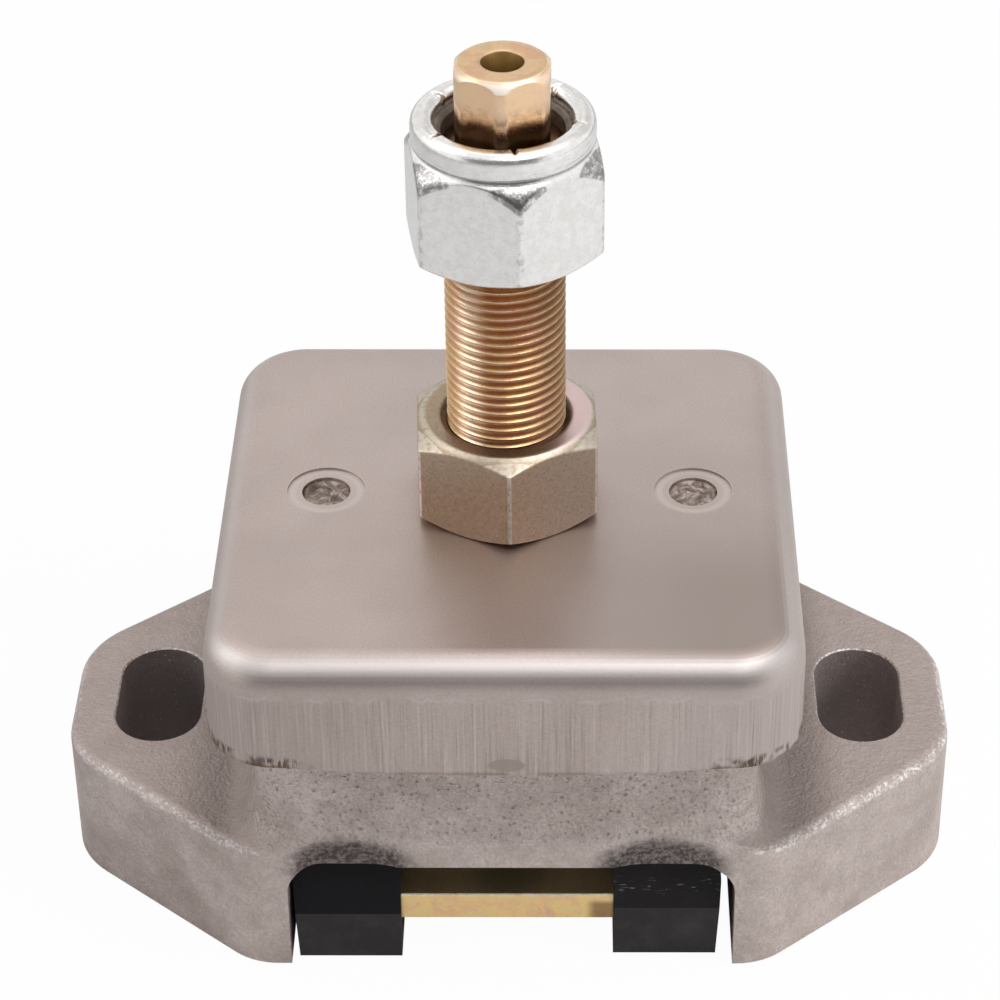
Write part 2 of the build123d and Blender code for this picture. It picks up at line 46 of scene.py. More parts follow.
class Wire:
    def __init__(self, graph, socket):
        self.graph = graph
        self.socket = socket

    def maths(self, operation, *others):
        return self.graph.maths(operation, self, *others)

    def __add__(self, other):
        return self.maths("ADD", other)

    def __sub__(self, other):
        return self.maths("SUBTRACT", other)

    def __mul__(self, other):
        return self.maths("MULTIPLY", other)

    def __truediv__(self, other):
        return self.maths("DIVIDE", other)

    def __pow__(self, other):
        return self.maths("POWER", other)

    def __rsub__(self, other):
        return self.graph.maths("SUBTRACT", other, self)

    def __rtruediv__(self, other):
        return self.graph.maths("DIVIDE", other, self)

    def __neg__(self):
        return self.maths("MULTIPLY", -1)

    __radd__ = __add__
    __rmul__ = __mul__

    def __abs__(self):
        return self.maths("ABSOLUTE")

    def atLeast(self, other):
        return self.maths("MAXIMUM", other)

    def atMost(self, other):
        return self.maths("MINIMUM", other)

    def clamp(self):
        return self.atLeast(0).atMost(1)

    def root(self):
        return self.maths("SQRT")

    def rise(self, low, high):
        # 0 below low, 1 above high, smooth between; low may be the larger
        values = {0: self, 1: low, 2: high, 3: 0, 4: 1}
        return self.graph.node("ShaderNodeMapRange", {"interpolation_type": "SMOOTHSTEP"}, values)

    def span(self, low, high):
        # the same between two lengths in millimetres
        return self.rise(low * mm, high * mm)

    def near(self, middle, far, close):
        # 1 within close of a place in millimetres, 0 beyond far
        return abs(self - middle * mm).span(far, close)


class Graph:
    def __init__(self, tree):
        self.tree = tree

    def node(self, kind, settings, values, out=0):
        made = self.tree.nodes.new(kind)
        for key, setting in settings.items():
            if key == "stops":
                ramp = made.color_ramp
                while len(ramp.elements) < len(setting):
                    ramp.elements.new(0.5)
                for element, (position, colour) in zip(ramp.elements, setting):
                    element.position = position
                    element.color = (*colour, 1)
            else:
                setattr(made, key, setting)
        for key, value in values.items():
            socket = made.inputs[key]
            if isinstance(value, Wire):
                self.tree.links.new(value.socket, socket)
            elif isinstance(value, (tuple, list)) and socket.type == "RGBA":
                socket.default_value = (*value, 1)
            else:
                socket.default_value = value
        return Wire(self, made.outputs[out])

    def maths(self, operation, *values):
        return self.node("ShaderNodeMath", {"operation": operation}, dict(enumerate(values)))

    def axes(self, vector):
        made = self.node("ShaderNodeSeparateXYZ", {}, {0: vector}).socket.node
        return [Wire(self, made.outputs[i]) for i in range(3)]

    def vector(self, x, y, z):
        return self.node("ShaderNodeCombineXYZ", {}, {0: x, 1: y, 2: z})


def shade(red, green, blue):
    # a colour as it is seen on screen, 0 to 255, to the linear values that nodes take
    shares = [value / 255 for value in (red, green, blue)]
    return tuple(v / 12.92 if v <= 0.04 else ((v + 0.055) / 1.055) ** 2.4 for v in shares)


class Finish(Graph):
    # one material; place is the object's own coordinates in metres, settings name its colours
    def __init__(self, name, settings=None):
        self.material = bpy.data.materials.new(name)
        self.material.use_nodes = True
        Graph.__init__(self, self.material.node_tree)
        self.tree.nodes.clear()
        self.output = self.tree.nodes.new("ShaderNodeOutputMaterial")
        self.place = self.node("ShaderNodeTexCoord", {}, {}, "Object")
        self.settings = settings
        self.colour = self.normal = None

    def tone(self, key):
        return shade(*self.settings[key])

    def mapped(self, scale=(1, 1, 1), turn=(0, 0, 0), shift=(0, 0, 0)):
        values = {"Vector": self.place, "Scale": scale, "Rotation": turn, "Location": shift}
        return self.node("ShaderNodeMapping", {}, values)

    def noise(self, size, detail=3, rough=0.5, vector=None, warp=0):
        # size is the feature's size in millimetres
        values = {"Vector": vector or self.place, "Scale": 1 / (size * mm)}
        values.update({"Detail": detail, "Roughness": rough, "Distortion": warp})
        return self.node("ShaderNodeTexNoise", {}, values)

    def cells(self, size):
        values = {"Vector": self.place, "Scale": 1 / (size * mm)}
        return self.node("ShaderNodeTexVoronoi", {}, values, "Distance")

    def ramp(self, value, stops):
        # stops are places along the value and names of colours
        stops = [(place, self.tone(key)) for place, key in stops]
        return self.node("ShaderNodeValToRGB", {"stops": stops}, {0: value})

    def blend(self, factor, first, second):
        values = {0: factor, 6: first, 7: second}
        return self.node("ShaderNodeMix", {"data_type": "RGBA"}, values, 2)

    def start(self, factor, first, second):
        self.colour = self.blend(factor, self.tone(first), self.tone(second))

    def coat(self, factor, key):
        # lays one more colour over what is there
        self.colour = self.blend(factor, self.colour, self.tone(key))

    def facing(self):
        # the true normal's x, y and z
        return self.axes(self.node("ShaderNodeNewGeometry", {}, {}, "True Normal"))

    def bump(self, height, distance, strength):
        # one more relief over what is there, its distance in millimetres
        values = {"Strength": strength, "Distance": distance * mm, "Height": height}
        if self.normal:
            values["Normal"] = self.normal
        self.normal = self.node("ShaderNodeBump", {}, values)

    def surface(self, **sockets):
        values = {key.replace("_", " "): value for key, value in sockets.items()}
        values.update({"Base Color": self.colour, "Normal": self.normal})
        shader = self.node("ShaderNodeBsdfPrincipled", {}, values)
        self.tree.links.new(shader.socket, self.output.inputs["Surface"])
        return self.material


# Camera at the photograph's angle, lengths in millimetres

cameraSettings = {
    "place": (9.8, -437.9, 376.45),
    "tilt": 54.69,
    "turn": 0.09,
    "lens": 118.63,
    "sensor": 36,
    "shift": (-0.0634, -0.0085),
    "clip": (0.01, 20),
}


def makeCamera(settings):
    data = bpy.data.cameras.new("photoCamera")
    data.lens = settings["lens"]
    data.sensor_width = settings["sensor"]
    data.shift_x, data.shift_y = settings["shift"]
    data.clip_start, data.clip_end = settings["clip"]
    camera = bpy.data.objects.new("photoCamera", data)
    camera.location = [v * mm for v in settings["place"]]
    tilt, turn = math.radians(settings["tilt"]), math.radians(settings["turn"])
    camera.rotation_euler = Euler((tilt, 0, turn))
    scene.collection.objects.link(camera)
    scene.camera = camera


makeCamera(cameraSettings)


# Studio, lengths in metres: a pale floor, a soft box overhead and one at the right,
# and cards that only the metal's reflections show

studioSettings = {
    "worldLevel": 0.5,
    "floorHalf": 3.0,
    "floorDrop": 0.0001,
    "floorColour": (0.8, 0.8, 0.8),
    "floorWhite": 0.97,
    "white": (1, 1, 1),
    "cardColour": (1, 0.98, 0.965),
    "aim": (0, 0, 0.06),
    # each with its name, place, size, and a lamp's power or a card's level
    "lamps": [
        ("overheadBox", (0.27, -0.17, 0.93), (0.7, 0.36), 2.4),
        ("rightBox", (0.95, -0.35, 0.7), (0.4, 0.5), 7.0),
    ],
    "unmirrored": ("rightBox",),
    "cards": [
        ("backLeftCard", (-0.75, 1.3, 0.9), (1.5, 1.0), 0.88),
        ("backRightCard", (0.75, 1.3, 0.9), (1.5, 1.0), 0.74),
        ("ceilingCard", (0.1, 0.38, 1.1), (1.6, 0.5), 1.35),
        ("leftCard", (-0.75, 0.1, 0.75), (0.4, 0.7), 2.6),
        ("frontCard", (0.0, -1.25, 0.7), (2.6, 1.25), 0.25),
    ],
}


def aimed(thing, place, target):
    thing.location = place
    thing.rotation_euler = (Vector(target) - Vector(place)).to_track_quat("-Z", "Y").to_euler()
    scene.collection.objects.link(thing)


def sheetMesh(name, halfWidth, halfHeight, z, material):
    mesh = bpy.data.meshes.new(name)
    signs = ((-1, -1), (1, -1), (1, 1), (-1, 1))
    mesh.from_pydata([(x * halfWidth, y * halfHeight, z) for x, y in signs], [], [(0, 1, 2, 3)])
    mesh.materials.append(material)
    return bpy.data.objects.new(name, mesh)


def makeWorld(level, white):
    scene.world = bpy.data.worlds.new("studio")
    scene.world.use_nodes = True
    graph = Graph(scene.world.node_tree)
    graph.tree.nodes.clear()
    path = graph.node("ShaderNodeLightPath", {}, {}, "Is Camera Ray").socket.node.outputs
    seen = Wire(graph, path["Is Camera Ray"]).atLeast(Wire(graph, path["Is Glossy Ray"]))
    seen = seen.atLeast(Wire(graph, path["Is Transmission Ray"]))
    values = {"Color": white, "Strength": seen * (1 - level) + level}
    back = graph.node("ShaderNodeBackground", {}, values)
    output = graph.tree.nodes.new("ShaderNodeOutputWorld")
    graph.tree.links.new(back.socket, output.inputs[0])


def makeLamp(settings, name, place, size, power):
    data = bpy.data.lights.new(name, "AREA")
    data.shape = "RECTANGLE"
    data.size, data.size_y = size
    data.energy = power
    thing = bpy.data.objects.new(name, data)
    aimed(thing, place, settings["aim"])
    thing.visible_glossy = name not in settings["unmirrored"]


def makeCard(settings, name, place, size, level):
    paint = Finish(name)
    values = {"Color": settings["cardColour"], "Strength": level}
    glow = paint.node("ShaderNodeEmission", {}, values)
    paint.tree.links.new(glow.socket, paint.output.inputs["Surface"])
    thing = sheetMesh(name, size[0] / 2, size[1] / 2, 0, paint.material)
    aimed(thing, place, settings["aim"])
    thing.visible_camera = False
    thing.visible_diffuse = False
    thing.visible_shadow = False


def makeFloor(settings):
    paint = Finish("paleFloor")
    path = paint.node("ShaderNodeLightPath", {}, {}, "Is Camera Ray")
    white = paint.node("ShaderNodeEmission", {}, {"Color": settings["white"], "Strength": 1.0})
    matt = paint.node("ShaderNodeBsdfDiffuse", {}, {"Color": settings["floorColour"]})
    values = {0: path * settings["floorWhite"], 1: matt, 2: white}
    mixed = paint.node("ShaderNodeMixShader", {}, values)
    paint.tree.links.new(mixed.socket, paint.output.inputs["Surface"])
    half = settings["floorHalf"]
    floor = sheetMesh("floor", half, half, -settings["floorDrop"], paint.material)
    scene.collection.objects.link(floor)


def makeStudio(settings):
    makeWorld(settings["worldLevel"], settings["white"])
    scene.view_settings.view_transform = "Standard"
    for lamp in settings["lamps"]:
        makeLamp(settings, *lamp)
    for card in settings["cards"]:
        makeCard(settings, *card)
    makeFloor(settings)


makeStudio(studioSettings)
print("camera and studio ready")


# Mesh helpers, lengths in millimetres

meshSettings = {"merge": 0.002, "shortest": 0.001, "sharpFrom": 38}


def tidyMesh(mesh, sharpFrom):
    work = bmesh.new()
    work.from_mesh(mesh)
    bmesh.ops.remove_doubles(work, verts=work.verts, dist=meshSettings["merge"] * mm)
    bmesh.ops.dissolve_degenerate(work, dist=meshSettings["shortest"] * mm, edges=work.edges)
    bmesh.ops.recalc_face_normals(work, faces=work.faces)
    work.to_mesh(mesh)
    work.free()
    mesh.shade_smooth()
    mesh.set_sharp_from_angle(angle=math.radians(sharpFrom))


def newPiece(name, vertices, faces, material, sharpFrom=meshSettings["sharpFrom"]):
    # millimetres in, a clean closed mesh in metres out
    mesh = bpy.data.meshes.new(name)
    mesh.from_pydata([(x * mm, y * mm, z * mm) for x, y, z in vertices], [], faces)
    tidyMesh(mesh, sharpFrom)
    mesh.materials.append(material)
    piece = bpy.data.objects.new(name, mesh)
    scene.collection.objects.link(piece)
    return piece


def dense(points, step):
    # the same path with every run cut into lengths of at most step;
    # a third value overrides step for the run to a point
    path = [points[0][:2]]
    for start, stop in zip(points, points[1:]):
        length = math.dist(start[:2], stop[:2])
        count = max(1, math.ceil(length / (stop[2] if len(stop) > 2 else step)))
        for k in range(1, count + 1):
            path.append(tuple(start[i] + (stop[i] - start[i]) * k / count for i in (0, 1)))
    return path


def rounded(centre, radius, fromAngle, toAngle, count):
    path = []
    for k in range(count + 1):
        angle = math.radians(fromAngle + (toAngle - fromAngle) * k / count)
        path.append((centre[0] + radius * math.cos(angle), centre[1] + radius * math.sin(angle)))
    return path


def bulged(start, stop, swell, count):
    # a curve between two points that swells outward by swell, and less upward
    lean = (0.82, 0.57)
    path = []
    for k in range(count + 1):
        s = k / count
        point = []
        for i in (0, 1):
            middle = (start[i] + stop[i]) / 2 + swell * lean[i]
            point.append((1 - s) ** 2 * start[i] + 2 * s * (1 - s) * middle + s * s * stop[i])
        path.append(tuple(point))
    return path


def hexAngles(turn, extra):
    # dense at the six corners and at the extra angles, in degrees
    cornerSteps = (0, 0.5, 1.1, 1.9, 3, 4.5, 6.5)
    extraSteps = (0, 0.5, 1, 1.6, 2.3, 3.2, 4.5)
    sideSteps = range(9, 52, 3)
    closest = 0.22
    wanted = set()

    def want(middle, steps, signs=(-1, 1)):
        wanted.update(round((middle + sign * a) % 360, 3) for a in steps for sign in signs)

    for corner in range(6):
        want(turn + 60 * corner, cornerSteps)
        want(turn + 60 * corner, sideSteps, (1,))
    for angle in extra:
        want(angle, extraSteps)
    kept = []
    for angle in sorted(wanted):
        if not kept or angle - kept[-1] > closest:
            kept.append(angle)
    return kept


def hexRadius(flats, angle, turn, crisp):
    # distance to a hexagon whose corners are slightly worn; corners stand at turn + 60 k
    away = (angle - turn + 30) % 60 - 30
    near = math.cos(math.radians(30 - abs(away)))
    far = math.cos(math.radians(30 + abs(away)))
    return flats / 2 / (near ** crisp + far ** crisp) ** (1 / crisp)


def softLess(first, second, soften):
    # the smaller of two lengths, eased over where they are nearly the same
    if abs(first - second) > 6 * soften:
        return min(first, second)
    return -soften * math.log(math.exp(-first / soften) + math.exp(-second / soften))


def turnedHex(
    name, profile, material, flats, turn, hexFrom,
    soften=0.07, extra=(), shape=None, closed=True, crisp=70,
):
    # a profile of (radius, height) turned round the stud's axis,
    # cut by a hexagon wherever it reaches past hexFrom
    angles = hexAngles(turn, extra)
    vertices = []
    for radius, height in profile:
        for angle in angles:
            reach = radius
            if radius > hexFrom:
                reach = softLess(radius, hexRadius(flats, angle, turn, crisp), soften)
            rise = 0
            if shape:
                push, rise = shape(angle, reach, height)
                reach += push
            at = math.radians(angle)
            vertices.append((reach * math.cos(at), reach * math.sin(at), height + rise))
    columns, rows = len(angles), len(profile)
    faces = []
    for row in range(rows if closed else rows - 1):
        here, across = row * columns, (row + 1) % rows * columns
        for column in range(columns):
            beside = (column + 1) % columns
            faces.append((here + column, here + beside, across + beside, across + column))
    return newPiece(name, vertices, faces, material)


def settle(piece, nodeName):
    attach(piece, "root")
    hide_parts(nodeName)


def hexEdge(place, flats, turn, cone, width):
    # 1 along the lines where a hexagon's sides meet its turned end,
    # whose radius at this height is cone
    x, y = place
    sides = None
    for degrees in (0, 60, 120):
        angle = math.radians(turn + degrees)
        side = abs(x * math.cos(angle) + y * math.sin(angle))
        sides = side if sides is None else sides.atLeast(side)
    gap = (flats / 2 * mm - sides).atLeast(cone - (x * x + y * y).root())
    return gap.span(width, width * 0.3)


def dress(nodeName, material):
    node = cadNodes[nodeName]
    node.data.materials.clear()
    node.data.materials.append(material)


# Cast base: blasted aluminium, grainy, rougher on the pedestal, worn bright along the ridges,
# with painted glints over its faces and ridges

castingSettings = {
    "colour": (222, 209, 204),
    "dull": (160, 146, 140),
    "pit": (124, 112, 107),
    "stain": (140, 120, 108),
    "bright": (244, 241, 239),
    "hollowShade": (58, 51, 50),
    "slotShade": (160, 149, 147),
    "coverShade": (112, 101, 97),
    "ridge": 22.9,
    "pedestalFoot": (24, 29),
    "coverReach": (56, 48),
    "coverTrim": (34, 27),
    "ceiling": 21.35,
    "hollow": 25.0,
    "hollowSize": (12.5, 7.0),
    "slot": 59.3,
    "slotHalf": 7.3,
    "slotEnd": 12.5,
}


def castingFinish(settings):
    paint = Finish("castingFinish", settings)
    x, y, z = paint.axes(paint.place)
    normalY, normalZ = paint.facing()[1:]
    blotch = paint.noise(6, 4, 0.65).rise(0.3, 0.72)
    speckle = paint.noise(0.55, 2, 0.6)
    paintedGlints = paint.noise(0.42, 1, 0.5, paint.mapped(shift=(3, 1, 2))).rise(0.69, 0.76)
    ridge = abs(normalZ - 0.6).rise(0.42, 0.12) * z.near(settings["ridge"], 2.2, 1.0)
    paintedSparkle = paint.noise(0.8, 3, 0.75, paint.mapped(shift=(1, 5, 2))).rise(0.5, 0.6)
    wearAndPaintedLight = ridge * (paint.noise(4.5, 3, 0.65).rise(0.4, 0.62) * 0.2 + paintedSparkle * 0.9)
    paint.start(blotch * 0.45, "colour", "dull")
    paint.coat((speckle - 0.5) * 0.9 + 0.28, "dull")
    # painted highlight: small bright glints over the faces, and the ridges' wear made brighter
    # with painted sparkle
    paint.coat((paintedGlints * 0.55 + wearAndPaintedLight * 0.75).clamp(), "bright")
    # brownish stains from handling, most on the pedestal and the left half
    stained = paint.noise(16, 5, 0.7, paint.mapped(shift=(0.4, 0.2, 0.1))).rise(0.4, 0.72)
    stained = stained * (0.16 + z.span(22, 32) * 0.1 + x.span(0, -30) * 0.2)
    paint.coat(stained * (1 - wearAndPaintedLight), "stain")
    # upper faces are painted darker, and painted shade darkens them most where the cover shelters
    # them
    paint.coat(normalZ.rise(0.55, 0.9) * 0.7 * (1 - wearAndPaintedLight), "dull")
    beside = abs(x).atLeast(abs(y) + 5 * mm).span(*settings["coverReach"])
    coverShade = beside * z.span(*settings["coverTrim"]) * normalZ.rise(0.3, 0.7)
    paint.coat(coverShade * (0.35 + x.span(30, 45) * 0.25), "coverShade")
    # painted shade in the hollows over the tunnel's corners, front and back
    halfWidth, height = settings["hollowSize"]
    offCentre = (abs(x) - settings["hollow"] * mm) / (halfWidth * mm)
    above = (z - settings["ceiling"] * mm) / (height * mm)
    uneven = (paint.noise(2.4, 3, 0.6) - 0.5) * 0.5
    overTunnel = (offCentre * offCentre + above * above + uneven).rise(1.0, 0.3)
    overTunnel = overTunnel * abs(normalY).rise(0.4, 0.8)
    hollowShade = overTunnel * (0.62 + paint.noise(0.9, 3, 0.7).rise(0.62, 0.4) * 0.4)
    paint.coat(hollowShade.clamp() * 0.92, "hollowShade")
    # painted shade: the slots' walls are painted dark, a little less on the right
    inSlot = abs(x).near(settings["slot"], settings["slotHalf"] + 0.4, settings["slotHalf"])
    inSlot = inSlot * abs(normalZ).rise(0.4, 0.1)
    inSlot = inSlot * abs(y).span(settings["slotEnd"] + 0.3, settings["slotEnd"])
    paint.coat(inSlot * (1 - paintedGlints) * (1 - x.span(0, 10) * 0.3), "slotShade")
    grain = paint.noise(0.65, 3, 0.65)
    peel = paint.noise(1.7, 3, 0.6, warp=0.4)
    pits = paint.cells(1.1).rise(0.0, 0.42)
    pedestal = z.span(*settings["pedestalFoot"]) * abs(normalZ).rise(0.8, 0.4)
    leather = (pedestal + overTunnel * 0.6).clamp()
    paint.coat(leather * pits.rise(0.6, 0.0) * 0.5, "pit")
    paint.bump(peel, 1.2, 0.24 + leather * 0.6)
    paint.bump(pits, 0.3, leather * 0.75 + 0.12)
    paint.bump(grain, 0.3, 0.8 + leather * 0.3)
    roughness = 0.4 + speckle * 0.2 - wearAndPaintedLight * 0.22 - paintedGlints * 0.15 + inSlot * 0.15
    return paint.surface(Roughness=roughness, Metallic=0.72 - wearAndPaintedLight * 0.5)


dress("base_casting", castingFinish(castingSettings))
print("cast base finished")


# Cover: drawn steel, satin, upright draw lines on the skirt, rings round the welds

coverSettings = {
    "colour": (196, 182, 177),
    "dull": (163, 150, 144),
    "line": (214, 206, 202),
    "burnishAndHighlight": (208, 205, 204),
    "rust": (120, 92, 66),
    "soot": (84, 70, 60),
    "welds": ((-29.55, 0.6), (30.25, 0.6)),
    "spotFace": (6.75, 6.45),
    "spotGroove": 5.5,
    "nearTop": (65, 65.5),
    "skirtTop": 60.3,
    "trim": 45.6,
    "corners": (74, 82),
    "oval": (0.4, 47.5),
    "ovalSize": (2.9, 1.25),
    "ovalFront": (-46, -46.4),
}


def coverFinish(settings):
    paint = Finish("coverFinish", settings)
    x, y, z = paint.axes(paint.place)
    normalY, normalZ = paint.facing()[1:]
    upright = abs(normalZ)
    cloud = paint.noise(26, 3, 0.55).rise(0.3, 0.7)
    fine = paint.noise(0.35, 2, 0.6)
    rolled = paint.noise(1, 3, 0.6, paint.mapped(scale=(0.06, 2.2, 2.2)))
    paint.start(cloud * 0.35, "colour", "dull")
    paint.coat((fine - 0.5) * 1.3 + 0.15, "dull")
    # painted reflection: the top's front right part is painted darker
    paint.coat(x.span(2, 34) * y.span(2, -26) * normalZ.rise(0.8, 0.95), "dull")
    # the rounding is burnished by the drawing ring, and painted paler where the highlight falls
    burnishAndHighlight = normalZ.rise(1.0, 0.8) * normalZ.rise(0.4, 0.75) * abs(normalY).rise(-0.4, 0.5)
    paint.coat(burnishAndHighlight * 0.6, "burnishAndHighlight")
    # upright draw lines, broken off at uneven heights
    uneven = paint.noise(1, 3, 0.65, paint.mapped(scale=(0.5, 0.5, 0.12))) - 0.5
    start = z - settings["skirtTop"] * mm + uneven * 3.2 * mm
    skirt = start.span(1.2, -1.6) * upright.rise(0.3, 0.1)
    lines = paint.noise(1, 4, 0.7, paint.mapped(scale=(2.2, 2.2, 0.035)))
    wide = paint.mapped(scale=(0.16, 0.16, 0.06), shift=(0.4, 0.2, 0))
    clusters = paint.noise(1, 2, 0.5, wide).rise(0.25, 0.6)
    crowded = clusters * 0.8 + 0.2
    # painted shade and light: the skirt is painted darker toward the left, the upright faces
    # paler toward the right
    paint.coat(x.span(5, -42) * skirt * 0.35, "dull")
    paint.coat(x.span(12, 46) * upright.rise(0.8, 0.4) * 0.3, "line")
    paint.coat(lines.rise(0.5, 0.7) * crowded * skirt * 0.5, "line")
    paint.coat(lines.rise(0.48, 0.34) * crowded * skirt * 0.8, "dull")
    # faint lap where the draw lines start
    lap = abs(start).span(0.5, 0.05) * upright.rise(0.4, 0.2) * paint.noise(5, 2).rise(0.45, 0.6)
    paint.coat(lap * 0.22, "line")
    # sheared lower edge: scraped and sooty at the corners, a tan line along it, one worn oval
    corner = (abs(x) + abs(y)).span(*settings["corners"])
    aboveTrim = z - settings["trim"] * mm - corner * 1.3 * mm
    rim = aboveTrim.span(2.6, 1.4) * upright.rise(0.5, 0.2)
    hatchPlace = paint.mapped(scale=(1.1, 1.1, 0.2), shift=(0.7, 0, 0))
    hatch = paint.noise(1, 3, 0.7, hatchPlace).rise(0.42, 0.52)
    scraped = paint.noise(4.5, 2, 0.5, paint.mapped(shift=(0.7, 0, 0))).rise(0.36, 0.48)
    paint.coat(rim * scraped * hatch * corner * 0.9, "soot")
    tan = aboveTrim.span(0.75, 0.2) * (paint.noise(5, 2).rise(0.35, 0.55) * 0.6 + corner * 0.4)
    paint.coat(tan * 0.7, "rust")
    (middleX, middleZ), (halfX, halfZ) = settings["oval"], settings["ovalSize"]
    ovalX, ovalZ = (x - middleX * mm) / (halfX * mm), (z - middleZ * mm) / (halfZ * mm)
    oval = (ovalX * ovalX + ovalZ * ovalZ).rise(1.15, 0.85) * y.span(*settings["ovalFront"])
    paint.coat(oval * 0.85, "dull")
    # faint turned rings round the welds
    spots = []
    for weldX, weldY in settings["welds"]:
        offX, offY = x - weldX * mm, y - weldY * mm
        away = (offX * offX + offY * offY).root()
        here = away.span(*settings["spotFace"]) * z.span(*settings["nearTop"])
        turned = here * paint.noise(0.3, 2, 0.6, away)
        groove = away.near(settings["spotGroove"], 0.9, 0.2) * here * 0.5
        spots.append((here, groove + turned * 0.5))
    (leftSpot, leftRings), (rightSpot, rightRings) = spots
    paint.coat(((leftRings + rightRings) * 0.55).clamp(), "line")
    paint.bump(fine, 0.02, 0.5)
    paint.bump(rolled, 0.02, 0.25 * (1 - skirt))
    paint.bump(lines, 0.04, skirt * clusters * 0.8)
    roughness = 0.38 + fine * 0.08 + burnishAndHighlight * 0.05 + skirt * 0.06
    roughness = roughness + (leftSpot + rightSpot) * 0.04
    return paint.surface(Roughness=roughness, Metallic=1.0)


dress("top_cover", coverFinish(coverSettings))
print("cover finished")


# Plug welds: lumpy nuggets sunk in the cover's two small holes

weldSettings = {
    "colour": (134, 120, 112),
    "pale": (176, 164, 157),
    "burnt": (96, 82, 74),
    "radius": 3.95,
    "rim": 65.45,
    "crown": 65.8,
    "highest": 66.05,
    "bottom": 63.15,
    "middleDip": 0.15,
    "bead": (0.22, 0.14),
    "lumps": 0.28,
    "lumpScale": 0.75,
    "around": 48,
    "rings": 16,
}


def weldFinish(settings):
    paint = Finish("weldFinish", settings)
    lumps = paint.noise(3.0, 3, 0.55, warp=2.2)
    scratches = paint.noise(0.5, 3, 0.7, paint.mapped(scale=(1, 2.4, 1), turn=(0, 0, 0.6)))
    paint.colour = paint.ramp(lumps, [(0.3, "burnt"), (0.48, "colour"), (0.62, "pale")])
    paint.bump(lumps, 0.4, 0.6)
    paint.bump(scratches, 0.1, 0.6)
    return paint.surface(Roughness=0.36 + scratches * 0.25, Metallic=1.0)


def weldHeight(settings, x, y, radius):
    # a raised bead near the rim, and lumps that fade out toward the rim
    inner = 1 - radius / settings["radius"]
    beadAt, beadWidth = settings["bead"]
    bead = math.exp(-((inner - beadAt) / beadWidth) ** 2)
    place = Vector((x * settings["lumpScale"], y * settings["lumpScale"], 4.0))
    wave = noise.fractal(place, 0.8, 2.1, 4)
    height = (settings["crown"] - settings["rim"]) * (0.45 + 0.4 * bead) * min(1, inner * 7)
    height += settings["rim"] + settings["lumps"] * wave * min(1, inner * 5)
    return min(height, settings["highest"])


def makeWelds(settings, places):
    material = weldFinish(settings)
    around, rings, outer = settings["around"], settings["rings"], settings["radius"]
    reach = [outer * (1 - (k / rings) ** 1.1) for k in range(rings)]
    for (weldX, weldY), side in zip(places, ("left", "right")):
        vertices, faces = [(weldX, weldY, settings["bottom"])], []
        for radius, atBottom in [(outer, True)] + [(radius, False) for radius in reach]:
            for k in range(around):
                angle = 2 * math.pi * k / around
                x, y = weldX + radius * math.cos(angle), weldY + radius * math.sin(angle)
                height = settings["bottom"] if atBottom else weldHeight(settings, x, y, radius)
                vertices.append((x, y, height))
        crown = len(vertices)
        vertices.append((weldX, weldY, settings["crown"] - settings["middleDip"]))
        for k in range(around):
            beside = (k + 1) % around
            faces.append((0, 1 + beside, 1 + k))
            for ring in range(rings):
                low, high = 1 + ring * around, 1 + (ring + 1) * around
                faces.append((low + k, low + beside, high + beside, high + k))
            faces.append((1 + rings * around + k, 1 + rings * around + beside, crown))
        piece = newPiece(side + "WeldNugget", vertices, faces, material, sharpFrom=60)
        settle(piece, "plug_weld_" + side)


makeWelds(weldSettings, coverSettings["welds"])
print("welds made")


# Stud: rolled thread by geometry nodes, plain shank below it, turned hexagon on top

studSettings = {
    "pitch": 1.5875,
    "crest": 9.5,
    "rootRadius": 8.62,
    "threadBottom": 78.0,
    "threadTop": 132.15,
    "chamfer": 1.0,
    "columns": 96,
    "rowsPerPitch": 10,
    "shank": 9.4,
    "shankTop": 78.6,
    "flats": 14.45,
    "turn": -1.0,
    "hexBottom": 118.0,
    "turned": 7.82,
    "face": 6.67,
    "slope": 1.75,
    "bulge": 0.62,
    "top": 144.9,
    "holeRadius": 3.25,
    "holeDepth": 24.0,
    "holePoint": 1.8,
    "bottom": 53.6,
    "copper": (198, 152, 116),
    "gold": (216, 184, 138),
    "rose": (206, 160, 142),
    "green": (186, 172, 124),
    "pale": (236, 224, 208),
    "turnedPale": (252, 244, 234),
    "brown": (106, 72, 50),
    "hole": (196, 176, 130),
    "strawGold": (248, 212, 176),
    "stain": (150, 118, 70),
    "steel": (232, 216, 200),
    "orange": (208, 136, 90),
    "lime": (192, 166, 100),
    "straw": (224, 186, 152),
}


